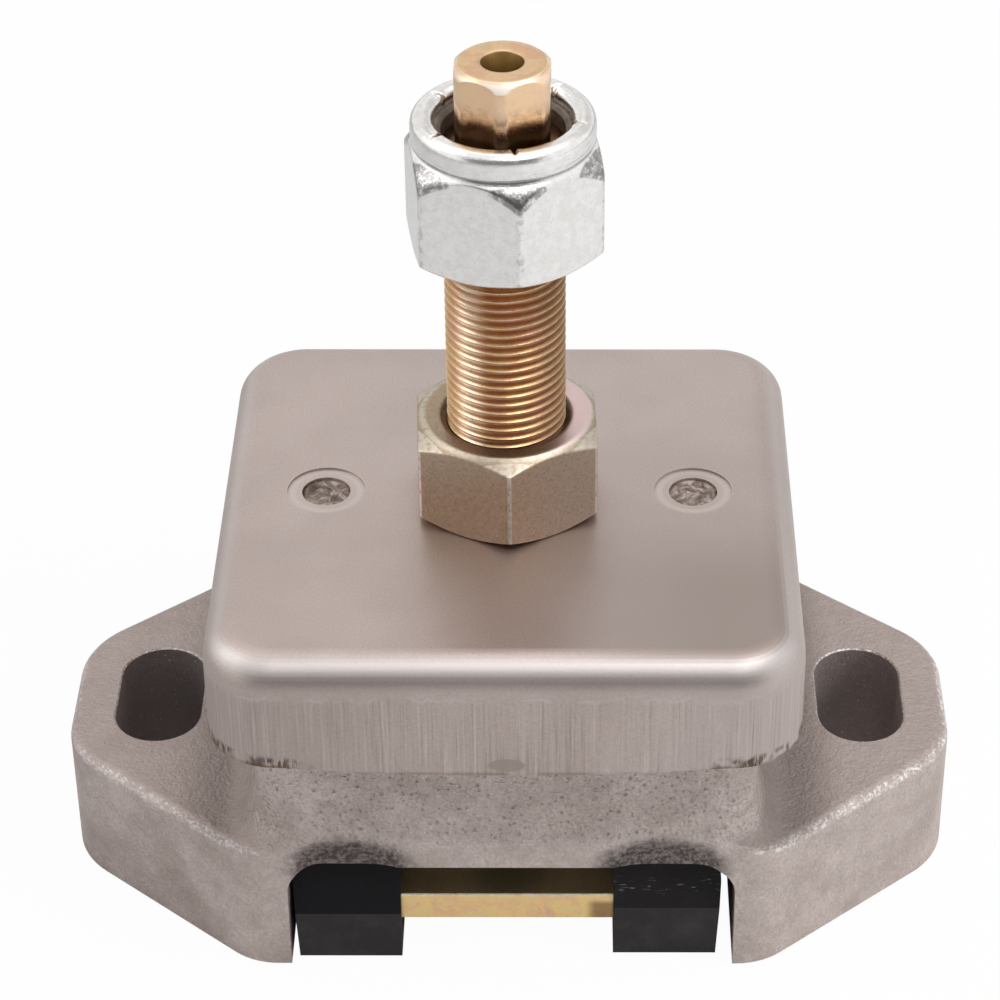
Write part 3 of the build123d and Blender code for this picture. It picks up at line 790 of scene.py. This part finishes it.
def studFinish(settings):
    paint = Finish("studFinish", settings)
    x, y, z = paint.axes(paint.place)
    normalZ = paint.facing()[2]
    away = (x * x + y * y).root()
    top, face, hole = settings["top"], settings["face"], settings["holeRadius"]
    # pinker copper on the thread, paler gold on the hexagon
    drift = paint.noise(4.5, 3, 0.6, warp=0.6) + z.span(133, 136) * 0.08
    stops = [(0.34, "rose"), (0.48, "copper"), (0.6, "gold"), (0.72, "green")]
    paint.colour = paint.ramp(drift, stops)
    # the thread's roots keep a browner film, and the flanks show thin bands of colour,
    # with paler straw at the crests that is partly a painted highlight
    onThread = z.span(132.4, 131.9)
    phase = (z / (settings["pitch"] * mm) - y.maths("ARCTAN2", x) / (2 * math.pi)).maths("FRACT")
    stops = [(0.1, "orange"), (0.35, "copper"), (0.5, "straw")]
    stops += [(0.61, "lime"), (0.7, "copper"), (0.85, "orange")]
    paint.colour = paint.blend(onThread * 0.6, paint.colour, paint.ramp(phase, stops))
    # painted shade: the thread's right side is painted browner, over the browner film in the
    # roots
    shadedRightSide = x.span(1, 8)
    rootFilmAndShade = (away.span(9.42, 9.0) * 0.22 + shadedRightSide * 0.48) * onThread
    paint.coat(rootFilmAndShade, "brown")
    # painted highlight: a pale upright band on the thread's front left
    paint.coat(x.near(-5.4, 3, 0.5) * y.span(0, -4) * onThread * 0.4, "pale")
    # painted shade on the thread's end, in the gap below the hexagon
    annulusShade = z.span(132.5, 132.3) * z.span(131.0, 131.3)
    paint.coat(annulusShade * 0.8, "brown")
    inHole = away.span(hole + 0.15, hole) * z.span(110, 118)
    paint.coat(inHole * 0.85, "hole")
    specks = paint.noise(0.5, 3, 0.7).rise(0.6, 0.72)
    paint.coat(specks * 0.4, "brown")
    # turning marks on the end face
    onFace = z.span(top - 0.25, top - 0.05)
    turned = paint.noise(0.22, 2, 0.5, away)
    paint.coat(onFace * turned.rise(0.45, 0.7) * 0.5, "gold")
    paint.coat(onFace * turned.rise(0.46, 0.3) * 0.3, "brown")
    # a paler hexagon, its turned end painted bright in front as a highlight, its lower half
    # stained
    paint.coat(z.span(134, 138) * (1 - inHole) * (0.78 - onFace * 0.43), "strawGold")
    # the thread's crests are rubbed and painted paler, partly a painted highlight
    crest = away.span(9.4, 9.48) * onThread * paint.noise(0.8, 3, 0.7).rise(0.35, 0.55)
    paint.coat(crest * 0.35, "pale")
    cone = z.span(top - 2.6, top - 2.0) * away.span(face - 0.15, face + 0.1)
    cone = cone * abs(normalZ - 0.52).rise(0.4, 0.25)
    cone = cone * (x.near(0.8, 5.2, 2.2) * 0.7 + 0.3)
    paint.coat(cone * 0.8, "turnedPale")
    uneven = z + (paint.noise(1.5, 3, 0.65) - 0.5) * 3.4 * mm
    onHexagon = away.span(8.6, 8.3) * z.span(132.2, 132.6) * (1 - inHole)
    paint.coat(uneven.span(141.0, 138.2) * onHexagon * 0.5, "stain")
    paint.coat(uneven.span(140.0, 135.8) * onHexagon * 0.75, "brown")
    # the corners were turned down to a narrow pale band
    paint.coat(away.span(7.76, 7.8) * onHexagon * 0.15, "steel")
    paint.bump(paint.noise(0.45, 3, 0.6), 0.03, 0.5)
    paint.bump(turned, 0.03, onFace * 0.8)
    roughness = 0.22 + specks * 0.2 + rootFilmAndShade * 0.12 + onFace * 0.1 + inHole * 0.16 - crest * 0.06
    roughness = roughness + cone * 0.2 + onThread * (shadedRightSide * 0.14 + 0.04)
    return paint.surface(Roughness=roughness, Metallic=1.0 - cone * 0.92)


def threadRecipe():
    tree = bpy.data.node_groups.new("rolledThread", "GeometryNodeTree")
    inputs = [
        ("Float", ("Pitch", "Crest Radius", "Root Radius", "Bottom", "Top", "Chamfer")),
        ("Int", ("Columns", "Rows", "Rows per Pitch")),
        ("Material", ("Material",)),
    ]
    for kind, names in inputs:
        for name in names:
            tree.interface.new_socket(name, in_out="INPUT", socket_type="NodeSocket" + kind)
    tree.interface.new_socket("Geometry", in_out="OUTPUT", socket_type="NodeSocketGeometry")
    graph = Graph(tree)
    entry = tree.nodes.new("NodeGroupInput").outputs
    given = {name: Wire(graph, entry[name]) for name in entry.keys() if name}
    values = {0: 1.0, 1: 1.0, 2: given["Columns"] + 1, 3: given["Rows"]}
    sheet = graph.node("GeometryNodeMeshGrid", {}, values, "Mesh")
    across, along = graph.axes(graph.node("GeometryNodeInputPosition", {}, {}))[:2]
    # every row follows the helix; what would pass an end stops there,
    # and the first and last rows close on the axis
    bottom, top, pitch = given["Bottom"], given["Top"], given["Pitch"]
    crest, chamfer = given["Crest Radius"], given["Chamfer"]
    turn = across + 0.5
    row = (along + 0.5) * (given["Rows"] - 1)
    lift = row / given["Rows per Pitch"] + turn - 1
    height = (bottom + pitch * lift).atLeast(bottom).atMost(top)
    phase = (height / pitch - turn).maths("FRACT")
    # a flat crest an eighth of a pitch wide and a flat root twice that
    flank = ((abs(phase - 0.5) * 2 - 0.125) / 0.625).clamp()
    radius = crest - (crest - given["Root Radius"]) * flank
    radius = radius.atMost(crest - chamfer + top - height)
    radius = radius.atMost(crest - chamfer + height - bottom)
    between = row.maths("GREATER_THAN", 0.5) * row.maths("LESS_THAN", given["Rows"] - 1.5)
    radius = radius * between
    angle = turn * (2 * math.pi)
    place = graph.vector(radius * angle.maths("COSINE"), radius * angle.maths("SINE"), height)
    shaped = graph.node("GeometryNodeSetPosition", {}, {"Geometry": sheet, "Position": place})
    values = {"Geometry": shaped, "Distance": 0.003 * mm}
    merged = graph.node("GeometryNodeMergeByDistance", {}, values)
    real = graph.node("GeometryNodeRealizeInstances", {}, {"Geometry": merged})
    values = {"Geometry": real, "Material": given["Material"]}
    final = graph.node("GeometryNodeSetMaterial", {}, values)
    leave = tree.nodes.new("NodeGroupOutput")
    tree.links.new(final.socket, leave.inputs["Geometry"])
    return tree


def madeByNodes(name, tree, values):
    # runs a geometry tree on an empty mesh and keeps the result as a plain mesh
    holder = bpy.data.objects.new(name + "Holder", bpy.data.meshes.new(name + "Holder"))
    scene.collection.objects.link(holder)
    modifier = holder.modifiers.new("recipe", "NODES")
    modifier.node_group = tree
    for item in tree.interface.items_tree:
        if item.in_out == "INPUT":
            modifier[item.identifier] = values[item.name]
    graph = bpy.context.evaluated_depsgraph_get()
    mesh = bpy.data.meshes.new_from_object(holder.evaluated_get(graph))
    mesh.name = name
    holder.modifiers.clear()
    bpy.data.objects.remove(holder)
    return mesh


def makeThread(settings, material):
    turns = (settings["threadTop"] - settings["threadBottom"]) / settings["pitch"] + 1
    lengths = (
        ("Pitch", "pitch"), ("Crest Radius", "crest"), ("Root Radius", "rootRadius"),
        ("Bottom", "threadBottom"), ("Top", "threadTop"), ("Chamfer", "chamfer"),
    )
    values = {name: settings[key] * mm for name, key in lengths}
    values["Columns"] = settings["columns"]
    values["Rows"] = math.ceil(turns) * settings["rowsPerPitch"] + 3
    values["Rows per Pitch"] = settings["rowsPerPitch"]
    values["Material"] = material
    mesh = madeByNodes("studThread", threadRecipe(), values)
    tidyMesh(mesh, sharpFrom=50)
    thread = bpy.data.objects.new("studThread", mesh)
    scene.collection.objects.link(thread)
    return thread


def makeShank(settings, material):
    radius, chamfer = settings["shank"], settings["chamfer"]
    low, high = settings["bottom"], settings["shankTop"]
    shank = [(0, low), (radius - chamfer, low), (radius, low + chamfer)]
    shank += [(radius, high), (0, high)]
    # wider than any radius here, so it is turned round and not cut
    never = 99
    return turnedHex(
        "studShank", dense(shank, step=30), material, flats=never, turn=0, hexFrom=never,
        closed=False,
    )


def makeHexagon(settings, material):
    top, turned, face = settings["top"], settings["turned"], settings["face"]
    hole, floor = settings["holeRadius"], settings["top"] - settings["holeDepth"]
    shoulder = top - (turned - face) * settings["slope"]
    profile = [
        (0, floor - settings["holePoint"]),
        (hole, floor, 9),
        (hole, top - 0.35, 9),
        (hole + 0.1, top - 0.12),
        (hole + 0.35, top),
        (face - 0.2, top, 0.8),
        (face, top - 0.05),
    ]
    start, stop = (face + 0.12, top - 0.18), (turned + 0.1, shoulder)
    profile += bulged(start, stop, settings["bulge"], count=24)
    profile += [(turned + 0.12, settings["hexBottom"], 30), (0, settings["hexBottom"], 30)]
    return turnedHex(
        "studHexagon", dense(profile, step=0.3), material, settings["flats"],
        turn=settings["turn"] + 30, hexFrom=6.9, soften=0.02, closed=False, crisp=220,
    )


def makeStud(settings):
    material = studFinish(settings)
    for make in (makeThread, makeShank, makeHexagon):
        settle(make(settings, material), "threaded_stud")


makeStud(studSettings)
print("stud made")


# Height nut: pale yellow zinc over dark steel, edges rubbed bright and painted brighter as
# highlights

heightNutSettings = {
    "flats": 28.575,
    "turn": 2.3,
    "bottom": 66.15,
    "top": 82.05,
    "bottomCorner": 1.45,
    "topCorner": 1.85,
    "bore": 9.56,
    "mouth": 10.6,
    "lip": 13.6,
    "corners": (16.22, 16.3),
    "colour": (188, 164, 142),
    "olive": (176, 160, 134),
    "rose": (200, 172, 154),
    "silver": (204, 202, 186),
    "wearAndPaintedLight": (150, 136, 110),
    "grey": (190, 180, 170),
    "flush": (232, 206, 206),
    "edge": (234, 230, 218),
    "dark": (112, 96, 82),
}
thirty = math.tan(math.radians(30))


def heightNutFinish(settings):
    paint = Finish("heightNutFinish", settings)
    x, y, z = paint.axes(paint.place)
    normalZ = paint.facing()[2]
    away = (x * x + y * y).root()
    top, corner = settings["top"], settings["flats"] / math.sqrt(3)
    stops = [(0.32, "olive"), (0.5, "colour"), (0.7, "rose")]
    paint.colour = paint.ramp(paint.noise(1.1, 4, 0.75), stops)
    # greyer on the right, a painted sheen of greenish silver toward the top left, and the upward
    # faces darker: worn, and a painted reflection
    paint.coat(x.span(-1, 12) * 0.6, "grey")
    paint.coat((z - x * 0.5).span(76, 88) * 0.45 * abs(normalZ).rise(0.4, 0.1), "silver")
    paint.coat(normalZ.rise(0.2, 0.5) * 0.5, "wearAndPaintedLight")
    specks = paint.noise(0.45, 4, 0.75)
    slanted = abs(normalZ - 0.5).rise(0.42, 0.3)
    paint.coat(specks.rise(0.44, 0.68) * (0.36 + slanted * 0.3), "dark")
    # rubbed bright at the corners, round the lip and where the flats end, with painted highlights
    # there too
    cone = (corner + (top - settings["topCorner"]) / thirty) * mm - z / thirty
    line = hexEdge((x, y), settings["flats"], settings["turn"] + 30, cone, 0.22)
    line = line * z.span(top - 6, top - 5)
    lip = away.near(settings["lip"], 0.9, 0.2) * z.span(top - 0.8, top - 0.2)
    rubbedAndHighlit = (away.span(*settings["corners"]) + lip * 0.5 + line * 0.5).clamp()
    rubbedAndHighlit = rubbedAndHighlit * paint.noise(0.9, 3, 0.7).rise(0.3, 0.55)
    paint.coat(rubbedAndHighlit.clamp() * 0.8, "edge")
    # painted reflection: a pinkish pale patch on the right of the top face
    paint.coat(x.span(5, 11) * z.span(top - 0.4, top - 0.1) * 0.75, "flush")
    paint.bump(paint.noise(0.5, 3, 0.6), 0.03, 0.5)
    paint.bump(paint.noise(4.5, 2, 0.5), 0.1, 0.3)
    return paint.surface(Roughness=0.3 + specks * 0.16, Metallic=1.0)


def nutFoot(settings, corner):
    # a nut's chamfered lower end, from the bore to the foot of its sides
    bore, mouth, low = settings["bore"], settings["mouth"], settings["bottom"]
    chamfer = settings["bottomCorner"]
    return [
        (bore, low + 1.1),
        (mouth, low),
        (corner - chamfer / thirty, low, 2),
        (corner + 0.05, low + chamfer + 0.03, 0.1),
        (corner + 0.25, low + chamfer + 0.5, 0.12),
    ]


def makeHeightNut(settings):
    material = heightNutFinish(settings)
    corner = settings["flats"] / math.sqrt(3)
    low, high, chamfer = settings["bottom"], settings["top"], settings["topCorner"]
    bore, mouth = settings["bore"], settings["mouth"]
    profile = nutFoot(settings, corner)
    profile += [
        (corner + 0.25, high - chamfer - 0.5, 2.5),
        (corner + 0.05, high - chamfer - 0.03, 0.12),
        (corner - chamfer / thirty, high, 0.1),
        (mouth + 0.18, high, 0.6),
        (mouth, high - 0.1),
        (bore, high - 1.15, 0.5),
        (bore, low + 1.1, 9),
    ]
    piece = turnedHex(
        "heightNut", dense(profile, step=0.3)[:-1], material, settings["flats"],
        turn=30 + settings["turn"], hexFrom=13.0, soften=0.08,
    )
    settle(piece, "height_nut")


makeHeightNut(heightNutSettings)
print("height nut made")


# Lock nut: bright zinc, a rolled collar over the nylon ring, crimped at six places

lockNutSettings = {
    "flats": 28.575,
    "turn": 9.6,
    "bottom": 113.35,
    "bottomCorner": 1.9,
    "shoulder": 127.85,
    "slope": 1.45,
    "neck": (13.4, 131.85),
    "collar": 14.15,
    "top": 136.3,
    "roll": 1.7,
    "bore": 9.56,
    "mouth": 10.6,
    "lip": 1.35,
    "seat": (12.3, 129.65),
    "ringTop": 134.0,
    "corners": (16.05, 16.28),
    "nicks": (46, 100, 150, 216, 279, 345),
    "bulge": 0.62,
    "nickDepth": 0.75,
    "nickWidth": 0.3,
    "nickPush": 0.3,
    "nickReach": 2.2,
    "nickFade": (13.2, 2.0),
    "nickLips": (0.62, 0.28, 0.1),
    "colour": (234, 231, 228),
    "pale": (243, 243, 242),
    "grey": (166, 164, 162),
    "dark": (84, 80, 84),
}


def lockNutFinish(settings):
    paint = Finish("lockNutFinish", settings)
    x, y, z = paint.axes(paint.place)
    away = (x * x + y * y).root()
    slope, neckZ = settings["slope"], settings["neck"][1]
    cloud = paint.noise(1.4, 4, 0.7)
    paint.start(cloud.rise(0.35, 0.65), "colour", "pale")
    specks = paint.noise(0.45, 3, 0.75).rise(0.58, 0.7)
    paint.coat(specks * 0.22, "grey")
    # painted shade along the flats' upper edges, and drawn marks round the collar
    cone = (settings["flats"] / math.sqrt(3) + settings["shoulder"] / slope) * mm - z / slope
    line = hexEdge((x, y), settings["flats"], settings["turn"] + 30, cone, 0.48)
    line = line * z.span(121, 122) * paint.noise(1.0, 4, 0.75).rise(0.3, 0.55)
    paint.coat(line * z.span(132, 131.5) * 0.7, "dark")
    hoop = paint.vector(x / away * 0.0018, y / away * 0.0018, away * 1.1 - z * 1.4)
    drawn = paint.noise(1, 3, 0.6, hoop).rise(0.56, 0.7) * z.span(131.6, 132.4)
    paint.coat(drawn * 0.35, "grey")
    # painted shade in the crease under the collar
    creaseShade = z.near(neckZ, 0.35, 0.05) * away.span(14.2, 13.9)
    paint.coat(creaseShade * 0.5, "dark")
    knock = away.span(*settings["corners"]) * paint.noise(1.2, 3, 0.7).rise(0.45, 0.62)
    paint.coat(knock * 0.45, "grey")
    paint.bump(paint.noise(0.5, 4, 0.7), 0.05, 0.6)
    paint.bump(paint.noise(2.2, 3, 0.5), 0.03, 0.35)
    paint.bump(knock, 0.08, 0.5)
    roughness = 0.18 + specks * 0.2 + cloud * 0.03
    return paint.surface(Roughness=roughness, Metallic=1.0)


def makeLockNut(settings):
    corner = settings["flats"] / math.sqrt(3)
    low, high, shoulder = settings["bottom"], settings["top"], settings["shoulder"]
    bore, mouth, lip = settings["bore"], settings["mouth"], settings["lip"]
    collar, roll, (neckRadius, neckZ) = settings["collar"], settings["roll"], settings["neck"]
    (seatRadius, seatZ), ringTop = settings["seat"], settings["ringTop"]
    shoulderEnd = shoulder + (corner - collar) * settings["slope"]
    profile = nutFoot(settings, corner) + [(corner + 0.25, shoulder - 0.6, 2.5)]
    outer, inner = (corner + 0.08, shoulder - 0.1), (collar - 0.05, shoulderEnd + 0.1)
    profile += bulged(outer, inner, settings["bulge"], count=30)
    profile += [
        (neckRadius + 0.42, neckZ - 0.12, 0.2),
        (neckRadius + 0.36, neckZ + 0.04),
        (neckRadius + 0.42, neckZ + 0.2),
        (collar - 0.1, neckZ + 0.42),
        (collar, neckZ + 0.7),
        (collar + 0.02, high - roll - 0.2, 0.3),
    ]
    profile += rounded((collar - roll, high - roll), roll, fromAngle=5, toAngle=90, count=9)
    profile += rounded((mouth + lip, high - lip), lip, fromAngle=95, toAngle=180, count=8)
    profile += [
        (mouth + 0.05, ringTop + 0.1),
        (mouth + 0.4, ringTop, 0.3),
        (seatRadius, ringTop, 1),
        (seatRadius, seatZ, 5),
        (bore, seatZ, 3),
        (bore, low + 1.1, 20),
    ]

    def crimp(angle, radius, height):
        # presses the collar's inner edge down and out at each nick, with a small lip either side
        if height < ringTop - 0.2 or radius > 13.3 or radius < mouth - 0.2:
            return 0, 0
        fadeFrom, fadeOver = settings["nickFade"]
        lipAt, lipWidth, lipHeight = settings["nickLips"]
        push, rise = 0, 0
        for nick in settings["nicks"]:
            away = ((angle - nick + 180) % 360 - 180) * math.pi / 180 * radius
            if abs(away) < settings["nickReach"]:
                fade = max(0, min(1, (fadeFrom - radius) / fadeOver))
                cut = math.exp(-((away / settings["nickWidth"]) ** 2))
                lift = math.exp(-(((abs(away) - lipAt) / lipWidth) ** 2))
                rise += (-settings["nickDepth"] * cut + lipHeight * lift) * fade
                push += settings["nickPush"] * cut * fade
        return push, min(rise, 0.0 if height > high - 0.02 else 0.06)

    piece = turnedHex(
        "lockNut", dense(profile, step=0.3)[:-1], lockNutFinish(settings), settings["flats"],
        turn=30 + settings["turn"], hexFrom=14.16, soften=0.1, extra=settings["nicks"],
        shape=crimp,
    )
    settle(piece, "lock_nut")


makeLockNut(lockNutSettings)
print("lock nut made")


# Nylon ring in the lock nut

nylonSettings = {"colour": (128, 116, 106), "scuffed": (158, 148, 138)}


def nylonFinish(settings):
    paint = Finish("nylonFinish", settings)
    scuff = paint.noise(1.4, 3, 0.6).rise(0.4, 0.7)
    paint.start(scuff, "colour", "scuffed")
    paint.bump(paint.noise(0.8, 3, 0.6), 0.05, 0.5)
    return paint.surface(Roughness=0.5 + scuff * 0.15)


dress("lock_nut_insert", nylonFinish(nylonSettings))
print("nylon ring finished")


# Rebound plate: yellow zinc, mottled, with painted highlights along its sheared top front edge

plateSettings = {
    "gold": (250, 218, 150),
    "straw": (246, 208, 158),
    "olive": (228, 218, 178),
    "rose": (234, 190, 158),
    "brown": (120, 88, 56),
    "bright": (246, 238, 222),
    "top": 12.8,
    "front": 38.0,
    "stain": 17,
}


def plateFinish(settings):
    paint = Finish("plateFinish", settings)
    x, y, z = paint.axes(paint.place)
    front = settings["front"]
    stops = [(0.32, "rose"), (0.46, "straw"), (0.58, "gold"), (0.72, "olive")]
    paint.colour = paint.ramp(paint.noise(3.4, 4, 0.65, warp=0.7), stops)
    paint.coat(paint.facing()[2].rise(0.5, 0.9) * 0.8, "olive")
    # painted highlight: bright spots along the top front edge
    edge = z.near(settings["top"], 0.55, 0.2) * abs(y).span(front - 0.8, front - 0.3)
    paint.coat(edge * paint.noise(1.0, 3, 0.7).rise(0.35, 0.6) * 0.8, "bright")
    stain = x.near(settings["stain"], 4.5, 2.5) * z.span(11.8, 10.6) * y.span(-30, -37)
    paint.coat(stain * 0.7, "brown")
    specks = paint.noise(0.5, 3, 0.7)
    paint.coat(specks.rise(0.6, 0.72) * 0.4, "brown")
    paint.bump(specks, 0.05, 0.5)
    return paint.surface(Roughness=0.24 + specks * 0.2, Metallic=1.0)


dress("rebound_plate", plateFinish(plateSettings))
print("rebound plate finished")


# Rubber: the bumpers and, inside, the main spring

rubberSettings = {
    "colour": (42, 39, 40),
    "dusty": (66, 62, 63),
    "upperShade": (16, 14, 18),
    "scratch": (150, 148, 148),
    "scratched": 15.2,
}


def rubberFinish(name, settings, scratched):
    paint = Finish(name, settings)
    dust = paint.noise(6, 4, 0.6).rise(0.4, 0.75)
    fine = paint.noise(0.35, 3, 0.7)
    paint.start(dust * 0.5 + fine * 0.3, "colour", "dusty")
    # painted shade: the sloping upper faces are painted blacker
    paint.coat(paint.facing()[2].rise(0.05, 0.16) * (0.7 if scratched else 1), "upperShade")
    if scratched:
        # short pale scratches along the upper face
        z = paint.axes(paint.place)[2]
        streak = paint.noise(1, 3, 0.7, paint.mapped(scale=(0.45, 3.2, 2.6))).rise(0.6, 0.72)
        paint.coat(streak * z.near(settings["scratched"], 2.2, 0.6) * 0.5, "scratch")
    paint.bump(fine, 0.05, 0.6)
    paint.bump(paint.noise(3, 3, 0.5), 0.1, 0.35)
    return paint.surface(Roughness=0.55 + fine * 0.2, Specular_IOR_Level=0.2)


for nodeName, finishName, scratched in (
    ("rebound_rubber_left", "leftRubberFinish", False),
    ("rebound_rubber_right", "rightRubberFinish", True),
    ("main_rubber", "springRubberFinish", False),
):
    dress(nodeName, rubberFinish(finishName, rubberSettings, scratched))
print("rubbers finished")


# Steel inside the mount

innerSettings = {
    "colour": (128, 128, 130),
    "dark": (92, 90, 92),
    "nodes": (
        "core_plate", "pocket_plate", "rebound_post_left", "rebound_post_right",
        "post_screw_left", "post_screw_right", "pocket_screw_front", "pocket_screw_back",
    ),
}


def innerFinish(settings):
    paint = Finish("innerSteelFinish", settings)
    cloud = paint.noise(5, 4, 0.6).rise(0.35, 0.7)
    fine = paint.noise(0.5, 3, 0.6)
    paint.start(cloud * 0.6, "colour", "dark")
    paint.bump(fine, 0.03, 0.5)
    return paint.surface(Roughness=0.35 + fine * 0.2, Metallic=1.0)


innerSteel = innerFinish(innerSettings)
for nodeName in innerSettings["nodes"]:
    dress(nodeName, innerSteel)
print("inner steel finished")
